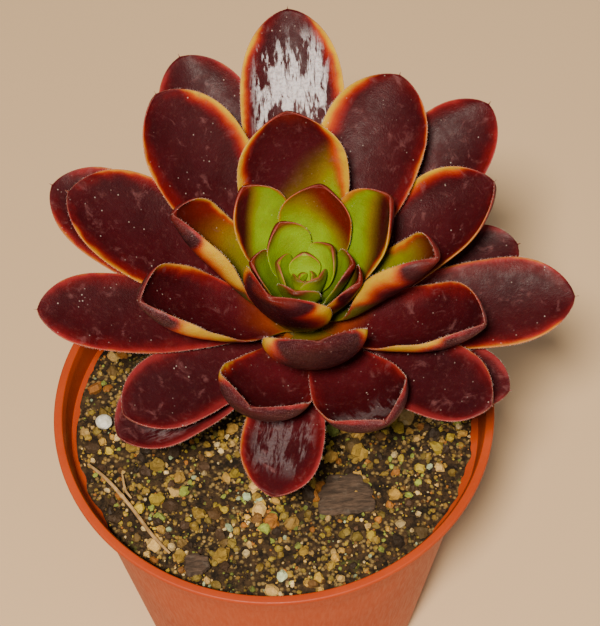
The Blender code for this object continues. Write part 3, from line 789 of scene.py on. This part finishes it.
def build_bud(finish):
    """The tiny leaves that close the heart, on the same spiral and by the same rings as the others."""
    even = np.linspace(0, 1, BUD_CELLS + 1)[:-1]
    share, turn = np.meshgrid((1 + EMBED_SHARE) * even - EMBED_SHARE, circle(BUD_CELLS), indexing="ij")
    side, depth = np.cos(turn), np.sin(turn)
    skins = [ring_skin(leaf_surface(leaf, share, side, depth)) for leaf in BUD_LEAVES]
    count = len(skins[0][0])
    faces = [block + index * count for index, (_, blocks) in enumerate(skins) for block in blocks]
    points = np.concatenate([skin for skin, _ in skins])
    piece = add_piece("bud", points, faces, finish, "heart_leaf")
    tints = [with_ends(leaf_tint(leaf, share, side, depth)) for leaf in BUD_LEAVES]
    marks = [with_ends(leaf_marks(leaf, share, side, depth)) for leaf in BUD_LEAVES]
    set_colour(piece, "tint", np.concatenate(tints))
    set_vector(piece, "marks", np.concatenate(marks))
    set_vector(piece, "blade", points)


def margin_hairs(leaves, name, finish, slot, spacing, length):
    """Three-sided tapering hairs set along both margins, leaning out and towards the tip.

    Each root is a triangle of points on a small circle, and its faces meet at the tip."""
    hairs = []
    for leaf in leaves:
        draw = np.random.default_rng(HAIR_SEED + leaf.order)
        count = int(leaf.length * MM * 0.8 / spacing)
        for side in (-1.0, 1.0):
            share = np.sort(draw.uniform(*HAIR_SPAN, count))
            flat = np.zeros(count)
            root = leaf_surface(leaf, share, flat + side * 0.995, flat)
            inner = leaf_surface(leaf, share, flat + side * 0.9, flat)
            further = leaf_surface(leaf, np.minimum(share + 0.01, 1), flat + side * 0.995, flat)
            ahead = unit(further - root)
            lean = draw.uniform(0.1, 0.9, count)[:, None]
            heading = unit(unit(root - inner) + lean * ahead + draw.normal(0, HAIR_SPREAD, (count, 3)))
            flank = unit(np.cross(heading, ahead))
            third = np.cross(heading, flank)
            reach = length * draw.uniform(0.5, 1.25, count)[:, None]
            ring = (math.cos(turn) * flank + math.sin(turn) * third for turn in circle(3))
            corners = [root + HAIR_RADIUS * way for way in ring]
            hairs.append(np.stack([*corners, root + heading * reach], 1))
    points = np.concatenate(hairs)
    start = np.arange(len(points))[:, None] * 4
    faces = np.concatenate([start + row for row in ([0, 1, 3], [1, 2, 3], [2, 0, 3], [0, 2, 1])])
    add_piece(name, points.reshape(-1, 3), [faces], finish, slot)


# ---- stem, pot, soil and litter


def cubic(corners, share):
    """Points on a Bezier curve: its four corners in the weights of the cube of share and its rest."""
    rest = 1 - share
    weights = (rest**3, 3 * rest**2 * share, 3 * rest * share**2, share**3)
    return sum(weight[:, None] * corner for weight, corner in zip(weights, corners))


def build_stem(finish):
    """A tube along the stem's curve, a Bezier foot below the leaves' own line of points.

    Its radius is raised by ripples of cork, and by the sixth power of a cosine that winds up it as scars."""
    last = LEAVES[-1].order
    lowest = stem_point(last)
    foot = np.array([0, 0, SOIL_TOP])
    angle = float(tilt(last))
    reach = (lowest[2] - foot[2]) * STEM_BEND_SHARE
    leaning = np.array([0, -math.sin(angle), math.cos(angle)])
    bends = [foot, foot + [0, 0, reach], lowest - reach * leaning, lowest]
    root = foot + np.array([0, 0, 1]) * np.linspace(-ROOT_DEPTH, 0, ROOT_RINGS, endpoint=False)[:, None]
    lower = cubic(bends, np.linspace(0, 1, STEM_RINGS, endpoint=False))
    orders = np.linspace(last, 0, STEM_RINGS)
    upper = np.array([stem_point(order) for order in orders])
    path = np.concatenate([root, lower, upper, upper[-1:] + [0, 0, TOP_BARE_STEM * 0.9]])
    radius = np.concatenate([
        np.full(len(root) + len(lower), STEM_RADIUS),
        [stem_radius(order) for order in orders],
        [STEM_TIP_RADIUS * 0.6],
    ])
    turn = circle(STEM_AROUND)
    along = np.concatenate([[0], np.cumsum(np.linalg.norm(np.diff(path, axis=0), axis=1))])
    winding = np.stack(np.meshgrid(along, turn * STEM_RADIUS, indexing="ij"), -1)
    cork = ripples(winding, CORK_SEED, 12, 0.006, 0.0012)
    scars = np.cos(2 * np.pi * (along[:, None] / SCAR_PITCH + turn / np.pi)) ** 6
    shown = ramp(0.012, 0.02, along)[:, None]
    bulge = radius[:, None] * (1 + shown * (0.035 * cork + 0.05 * scars - 0.04))
    rings = tube_rings(path, bulge, turn, (0, 1, 0))
    piece = add_skin("stem", rings, finish, "stem", ["stem"])
    fresh = ramp(SOIL_TOP + 30 * MM, SOIL_TOP + STEM_HEIGHT, rings[..., 2])
    tint = blend(blend(CORK, GREEN_CORK, fresh), SCAR, 0.55 * scars * (1 - fresh))
    set_colour(piece, "tint", with_ends(tint))


def arc(centre, radius, start, end, count):
    """Points on an arc about a centre, from a start to an end angle in degrees."""
    angle = np.radians(np.linspace(start, end, count))
    return np.stack([centre[0] + radius * np.cos(angle), centre[1] + radius * np.sin(angle)], -1)


def between(first, second, count):
    """Evenly spaced points on the line from the first to the second."""
    share = np.linspace(0, 1, count)[:, None]
    return np.array(first) * (1 - share) + np.array(second) * share


LIP_WIDTH = 2.15 * MM
LIP_THICKNESS = 1.4 * MM
COLLAR_HEIGHT = 8.5 * MM
COLLAR_INSET = 1.4 * MM
COLLAR_DRAFT = 0.9 * MM
STEP_IN = 2.5 * MM
STEP_HEIGHT = 1.3 * MM
BASE_RADIUS = 38.5 * MM
POT_WALL = 1.3 * MM
POT_FLOOR = 1.6 * MM
DRAIN_HOLE_RADIUS = 3.5 * MM
DRAIN_RING_INSET = 13.5 * MM
DRAIN_HOLE_COUNT = 6
LIP_ROUND = 0.5 * MM
EDGE_ROUND = 0.4 * MM
LIP_UNDER_ROUND = 0.3 * MM
COLLAR_ROUND = 0.25 * MM
FOOT_ROUND = 0.6 * MM
POT_AROUND, HOLE_AROUND = 256, 48
SOIL_RINGS, SOIL_AROUND = 150, 300


def pot_profile():
    """The section from the middle of the floor, up the inside, over the rounded lip and down the outside."""
    lip_under = POT_HEIGHT - LIP_THICKNESS
    collar = RIM_RADIUS - COLLAR_INSET
    foot = (collar - COLLAR_DRAFT, lip_under - COLLAR_HEIGHT + LIP_THICKNESS)
    body = (foot[0] - STEP_IN, foot[1] - STEP_HEIGHT)
    pieces = [
        between((2 * MM, POT_FLOOR), (BASE_RADIUS - POT_WALL - 1 * MM, POT_FLOOR), 6),
        between((BASE_RADIUS - POT_WALL + 0.3 * MM, POT_FLOOR + 1 * MM), (body[0] - POT_WALL, body[1]), 22),
        between((foot[0] - POT_WALL, foot[1]), (collar - POT_WALL, lip_under), 8),
        arc((RIM_RADIUS - LIP_WIDTH + 0.35 * MM, POT_HEIGHT - EDGE_ROUND), EDGE_ROUND, 180, 90, 6),
        arc((RIM_RADIUS - LIP_ROUND, POT_HEIGHT - LIP_ROUND), LIP_ROUND, 90, 0, 8),
        arc((RIM_RADIUS - LIP_UNDER_ROUND, lip_under + LIP_UNDER_ROUND), LIP_UNDER_ROUND, 0, -90, 5),
        arc((collar + COLLAR_ROUND, lip_under - COLLAR_ROUND), COLLAR_ROUND, 90, 180, 5),
        arc((foot[0] - EDGE_ROUND, foot[1] + 0.35 * MM), EDGE_ROUND, 0, -80, 6),
        arc((body[0] + EDGE_ROUND, body[1] - 0.1 * MM), EDGE_ROUND, 100, 180, 6),
        between((body[0] - 0.1 * MM, body[1] - 2 * MM), (BASE_RADIUS, FOOT_ROUND), 22),
        arc((BASE_RADIUS - FOOT_ROUND, FOOT_ROUND), FOOT_ROUND, 0, -90, 6),
        between((BASE_RADIUS - 1.5 * MM, 0), (2 * MM, 0), 6),
    ]
    return np.concatenate(pieces)


def build_pot(finish):
    """The section turned round Z in fine steps, with the drain holes cut through the floor."""
    piece = add_skin("pot", turned_rings(pot_profile(), POT_AROUND), finish, "pot", ["pot"])
    for index in range(DRAIN_HOLE_COUNT):
        angle = (index + 0.5) * 2 * np.pi / DRAIN_HOLE_COUNT
        middle = (BASE_RADIUS - DRAIN_RING_INSET) * np.array([math.cos(angle), math.sin(angle), 0])
        ends = [(DRAIN_HOLE_RADIUS, -2 * POT_FLOOR), (DRAIN_HOLE_RADIUS, 3 * POT_FLOOR)]
        rings = middle + turned_rings(np.array(ends), HOLE_AROUND)
        drill = add_object("drill", make_mesh("drill", *ring_skin(rings)))
        cutter = piece.modifiers.new("drain", "BOOLEAN")
        cutter.object = drill
        cutter.solver = "EXACT"
        bpy.context.view_layer.update()
        graph = bpy.context.evaluated_depsgraph_get()
        made = bpy.data.meshes.new_from_object(piece.evaluated_get(graph))
        piece.modifiers.clear()
        piece.data = made
        bpy.data.objects.remove(drill, do_unlink=True)
    piece.data.set_sharp_from_angle(angle=math.radians(35))


def ground_height(place):
    """The soil's surface over X and Y: level, dropping at the pot's wall, with low lumps and crumbs."""
    radius = np.linalg.norm(place, axis=-1)
    drop = ramp(SOIL_RADIUS - 8 * MM, SOIL_RADIUS, radius) * 0.8 * MM
    lumps = ripples(place, LUMP_SEED, 14, 0.03, 0.008) * 0.7 * MM
    crumbs = ripples(place, CRUMB_SEED, 22, 0.006, 0.0018) * 0.35 * MM
    return SOIL_TOP - 0.5 * MM - drop + lumps + crumbs


def build_soil(finish):
    """The root ball: an uneven top over fine rings, the tapering side, and a flat underside."""
    radius = np.linspace(0.004, 1, SOIL_RINGS) * (SOIL_RADIUS + 0.1 * MM)
    top = turned_rings(np.column_stack([radius, radius]), SOIL_AROUND)
    top[..., 2] = ground_height(top[..., :2])
    base = BASE_RADIUS - POT_WALL - CLEARANCE
    shoulder = RIM_RADIUS - COLLAR_INSET - COLLAR_DRAFT - STEP_IN - POT_WALL - CLEARANCE
    side = [(SOIL_RADIUS - 0.3 * MM, SOIL_TOP - 3 * MM), (shoulder, SOIL_TOP - 4.5 * MM)]
    side += [tuple(row) for row in between((shoulder, SOIL_TOP - 6 * MM), (base, SOIL_LOW[2]), 10)]
    side += [(base * 0.5, SOIL_LOW[2]), (1 * MM, SOIL_LOW[2])]
    rings = np.concatenate([top, turned_rings(np.array(side), SOIL_AROUND)])
    add_skin("soil", rings, finish, "soil", ["soil"])


GRAVEL_PITCH = 2.4 * MM
GRIT_COUNT = 5200
GRAIN_TINTS = np.array([paint(code) for code in (
    "d0aa62 bf9442 ad8a34 9c7e30 dfc48a 86702c 6a4a22 b3982e 8f9a3e b9c49a 6b5226 3b2a18 b0702a d6b87c "
    "a2b48c 4a3420"
).split()])
GRAIN_ODDS = np.array([8, 11, 11, 10, 3, 9, 7, 8, 6, 1, 7, 7, 5, 4, 1, 7], float)


def clumps(places):
    """Where the grains lie thick, above 0, and thin, below it."""
    return ripples(places, CLUMP_SEED, 9, 0.03, 0.008)


def scatter(name, finish, places, sizes, seed, around, along, sunk):
    """Many stones as one mesh: a unit ball stretched, dented, turned and set down at each place.

    A quaternion turns a point by twice the cross of its axis with their cross, plus the point times w."""
    draw = np.random.default_rng(seed)
    count = len(places)
    lift = np.linspace(-0.5, 0.5, along + 2)[1:-1] * np.pi
    stone, faces = ring_skin(ball(*np.meshgrid(lift, circle(around), indexing="ij")))
    stone[-2:] = (0, 0, -1), (0, 0, 1)
    dents = 1 + 0.17 * draw.normal(size=(count, len(stone), 1)).clip(-1.6, 1.6)
    stretch = draw.uniform(0.62, 1.0, (count, 1, 3))
    shapes = stone[None] * dents * stretch * sizes[:, None, None] / 2
    quaternion = unit(draw.normal(size=(count, 1, 4)))
    w, axis = quaternion[..., :1], quaternion[..., 1:]
    shapes = shapes + 2 * np.cross(axis, np.cross(axis, shapes) + w * shapes)
    centres = np.column_stack([places, ground_height(places) + sizes * (0.5 - sunk)])
    points = (shapes + centres[:, None]).reshape(-1, 3)
    start = (np.arange(count) * len(stone))[:, None, None]
    blocks = [(block[None] + start).reshape(-1, block.shape[1]) for block in faces]
    piece = add_piece(name, points, blocks, finish, "soil", smooth=False)
    odds = GRAIN_ODDS / GRAIN_ODDS.sum()
    tints = GRAIN_TINTS[draw.choice(len(GRAIN_TINTS), count, p=odds)] * draw.uniform(0.65, 1.2, (count, 1))
    tints *= (0.85 + 0.4 * clumps(places)).clip(0.3, 1.2)[:, None]
    set_colour(piece, "tint", np.repeat(tints, len(stone), axis=0))


def within_pot(places, sizes):
    """Keeps the places whose stones lie inside the wall and clear of the stem."""
    reach = np.linalg.norm(places, axis=1)
    keep = (reach + sizes / 2 + 0.4 * MM < SOIL_RADIUS) & (reach > STEM_RADIUS + sizes / 2)
    return places[keep], sizes[keep]


def draw_sizes(draw, middle, spread, least, most, count):
    """Grain sizes round a middle one, in mm, with as many halved as doubled."""
    return np.clip(draw.lognormal(math.log(middle), spread, count), least, most) * MM


def build_gravel(finish):
    """Gravel shaken off the places of a staggered grid, thinned to clumps, and grit at even odds."""
    draw = np.random.default_rng(GRAVEL_SEED)
    count = int(2 * SOIL_RADIUS / GRAVEL_PITCH) + 2
    row, column = np.meshgrid(np.arange(count), np.arange(count), indexing="ij")
    x = (column + 0.5 * (row % 2)) * GRAVEL_PITCH - SOIL_RADIUS
    y = row * GRAVEL_PITCH * 0.87 - SOIL_RADIUS
    places = np.stack([x.ravel(), y.ravel()], -1) + draw.uniform(-0.9, 0.9, (count * count, 2)) * MM
    sizes = draw_sizes(draw, 1.8, 0.46, 0.8, 4.8, len(places))
    shown = draw.uniform(size=len(places)) < 0.8 + 0.35 * clumps(places)
    places, sizes = within_pot(places[shown], sizes[shown])
    scatter("gravel", finish, places, sizes, GRAVEL_SHAPE_SEED, 7, 4, 0.38)
    places = draw.uniform(-1, 1, (GRIT_COUNT, 2)) * SOIL_RADIUS
    sizes = draw_sizes(draw, 0.75, 0.32, 0.4, 1.4, len(places))
    places, sizes = within_pot(places, sizes)
    scatter("grit", finish, places, sizes, GRIT_SHAPE_SEED, 5, 2, 0.3)


def in_box(name, rings):
    """Rings about the origin, stretched and set down in a node's box."""
    low, high = (np.array(corner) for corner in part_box(name))
    return rings * (high - low) / 2 + (low + high) / 2


def build_chip(name, finish, seed):
    """A flat broken chip filling its node's box: a disc squared off by a fourth-power mean.

    Sines of three, seven and fifteen turns make its edge ragged, and sines of its lift split it in layers."""
    lift, turn = np.meshgrid(np.linspace(-0.98, 0.98, 23), circle(72), indexing="ij")
    flat = np.sqrt(np.clip(1 - np.abs(lift) ** 5, 0, 1))
    ragged = 1 + 0.10 * np.sin(3 * turn + seed) + 0.06 * np.sin(7 * turn + 2 * seed)
    ragged += 0.03 * np.sin(15 * turn)
    layered = 1 + 0.035 * np.sin(11 * lift + 2.2 * np.sin(2 * turn + seed))
    square = 1 / (np.abs(np.cos(turn)) ** 4 + np.abs(np.sin(turn)) ** 4) ** 0.25
    reach = 0.86 * flat * ragged * layered * np.minimum(square, 1.12)
    rings = in_box(name, np.stack([reach * np.cos(turn), reach * np.sin(turn), lift], -1))
    rings[..., 2] += 0.25 * MM * ripples(rings[..., :2], seed, 9, 0.008, 0.002)
    add_skin(name, rings, finish, "bark", [name])


def build_pebble(name, finish):
    """A unit ball in its node's box, dented by low waves."""
    rings = ball(*np.meshgrid(np.linspace(-0.49, 0.49, 28) * np.pi, circle(48), indexing="ij"))
    dents = 1 + 0.09 * ripples(rings, PEBBLE_SEED, 8, 1.8, 0.7)
    add_skin(name, in_box(name, rings * dents[..., None]), finish, "stone", [name])


def smooth_path(knots, count):
    """A Catmull-Rom curve through knots, which passes through each with the slope of its neighbours."""
    knots = np.array(knots, float)
    full = np.concatenate([[2 * knots[0] - knots[1]], knots, [2 * knots[-1] - knots[-2]]])
    place = np.linspace(0, len(knots) - 1 - 1e-9, count)
    base = place.astype(int)
    share = (place - base)[:, None]
    a, b, c, d = (full[base + shift] for shift in range(4))
    return 0.5 * (2 * b + (c - a) * share + (2 * a - 5 * b + 4 * c - d) * share**2
                  + (3 * b - a - 3 * c + d) * share**3)


STRAW_RADIUS = 0.5 * MM
STRAW_RINGS = 90
STRAW_ROUTE = (
    (-0.936, -0.214, 1.2), (-0.838, -0.322, 2.2), (-0.731, -0.458, 1.4), (-0.624, -0.624, 1),
    (-0.536, -0.731, 0.6),
)
SPRIG_ROUTE = ((-0.766, -0.277, 0.8), (-0.751, -0.366, 0.8), (-0.721, -0.417, 0.8))


def build_straw(name, route, width, finish):
    """A flattened stalk along a smooth path, with five cosine grooves and one knuckle.

    Its radius narrows to both ends by a power of a sine."""
    level = SOIL_TOP + CLEARANCE + STRAW_RADIUS
    knots = [(x * SOIL_RADIUS, y * SOIL_RADIUS, level + z * MM) for x, y, z in route]
    turn = circle(20)
    along = np.linspace(0, 1, STRAW_RINGS)
    taper = 0.35 + 0.65 * np.sin(np.pi * np.clip(along * 0.94 + 0.03, 0, 1)) ** 0.35
    knuckle = 1 + 0.3 * np.exp(-((along - 0.42) / 0.012) ** 2)
    radius = width * (taper * knuckle)[:, None] * (1 + 0.08 * np.cos(5 * turn))
    rings = tube_rings(smooth_path(knots, STRAW_RINGS), radius, turn, (0, 0, 1), 0.75)
    add_skin(name, rings, finish, "straw", [name])


# ---- stage


STAGE_REACH = 3.0
LIGHTS_AIM = (0.008, 0.0, 0.13)
WORLD_COLOUR = (0.95, 0.93, 0.9, 1)
WORLD_STRENGTH = 0.22
CAMERA_PLACE = (0, -0.2679, 0.5173)
CAMERA_AHEAD = (0.01532, 0.57335, -0.81917)
CAMERA_RIGHT = (0.99868, -0.04899, -0.01561)
CAMERA_LENS = 115


def add_light(name, place, size, power, colour):
    """A round soft light looking at the plant."""
    data = bpy.data.lights.new(name, "AREA")
    data.shape = "DISK"
    data.size = size
    data.energy = power
    data.color = colour
    light = add_object(name, data)
    light.location = place
    light.rotation_euler = (Vector(LIGHTS_AIM) - Vector(place)).to_track_quat("-Z", "Y").to_euler()


def build_stage():
    """The floor, a warm key light, a weak wide fill light, an even world and the camera."""
    corners = np.array([(-1, -1, 0), (1, -1, 0), (1, 1, 0), (-1, 1, 0)]) * STAGE_REACH
    floor = add_object("floor", make_mesh("floor", corners, [np.array([[0, 1, 2, 3]])]))
    floor.data.materials.append(floor_finish())

    add_light("key", (-0.13, -0.55, 1.08), 0.16, 26, (1.0, 0.91, 0.77))
    add_light("fill", (0.7, -0.9, 0.9), 0.9, 2.4, (1.0, 0.96, 0.92))
    world = bpy.data.worlds.new("studio")
    world.use_nodes = True
    background = world.node_tree.nodes["Background"].inputs
    background["Color"].default_value = WORLD_COLOUR
    background["Strength"].default_value = WORLD_STRENGTH
    bpy.context.scene.world = world

    data = bpy.data.cameras.new("camera")
    data.lens = CAMERA_LENS
    data.sensor_width = 36
    camera = add_object("camera", data)
    ahead, right = Vector(CAMERA_AHEAD).normalized(), Vector(CAMERA_RIGHT)
    right = (right - ahead * right.dot(ahead)).normalized()
    turn = Matrix((right, right.cross(ahead), -ahead)).transposed().to_4x4()
    camera.matrix_world = Matrix.Translation(CAMERA_PLACE) @ turn
    bpy.context.scene.camera = camera


def main():
    """The stage, then each of the plant's pieces."""
    build_stage()
    grown = leaf_finish("leaf_skin", 0.5, 0.46)
    young = leaf_finish("heart_leaf_skin", 0.15, 0.36)
    hair = hair_finish()
    build_bud(young)
    for count, leaf in enumerate(HEART, 1):
        build_leaf(leaf, "heart_leaf_%02d" % count, young, "heart_leaf")
    for count, leaf in enumerate(GROWN, 1):
        build_leaf(leaf, "leaf_%02d" % count, grown, "leaf")
    haired = [leaf for leaf in HEART if leaf.order > OLDEST_BALD_LEAF]
    margin_hairs(haired, "heart_margin_hairs", hair, "heart_leaf", 0.22 * MM, 0.35 * MM)
    margin_hairs(GROWN, "leaf_margin_hairs", hair, "leaf", 0.2 * MM, 0.5 * MM)
    build_stem(stem_finish())
    build_pot(pot_finish())
    build_soil(soil_finish())
    build_gravel(grain_finish())
    bark = bark_finish()
    build_chip("bark_chip_large", bark, LARGE_CHIP_SEED)
    build_chip("bark_chip_small", bark, SMALL_CHIP_SEED)
    build_pebble("pale_stone", stone_finish())
    straw = straw_finish()
    build_straw("dry_straw", STRAW_ROUTE, 0.45 * MM, straw)
    build_straw("straw_sprig", SPRIG_ROUTE, 0.3 * MM, straw)


main()
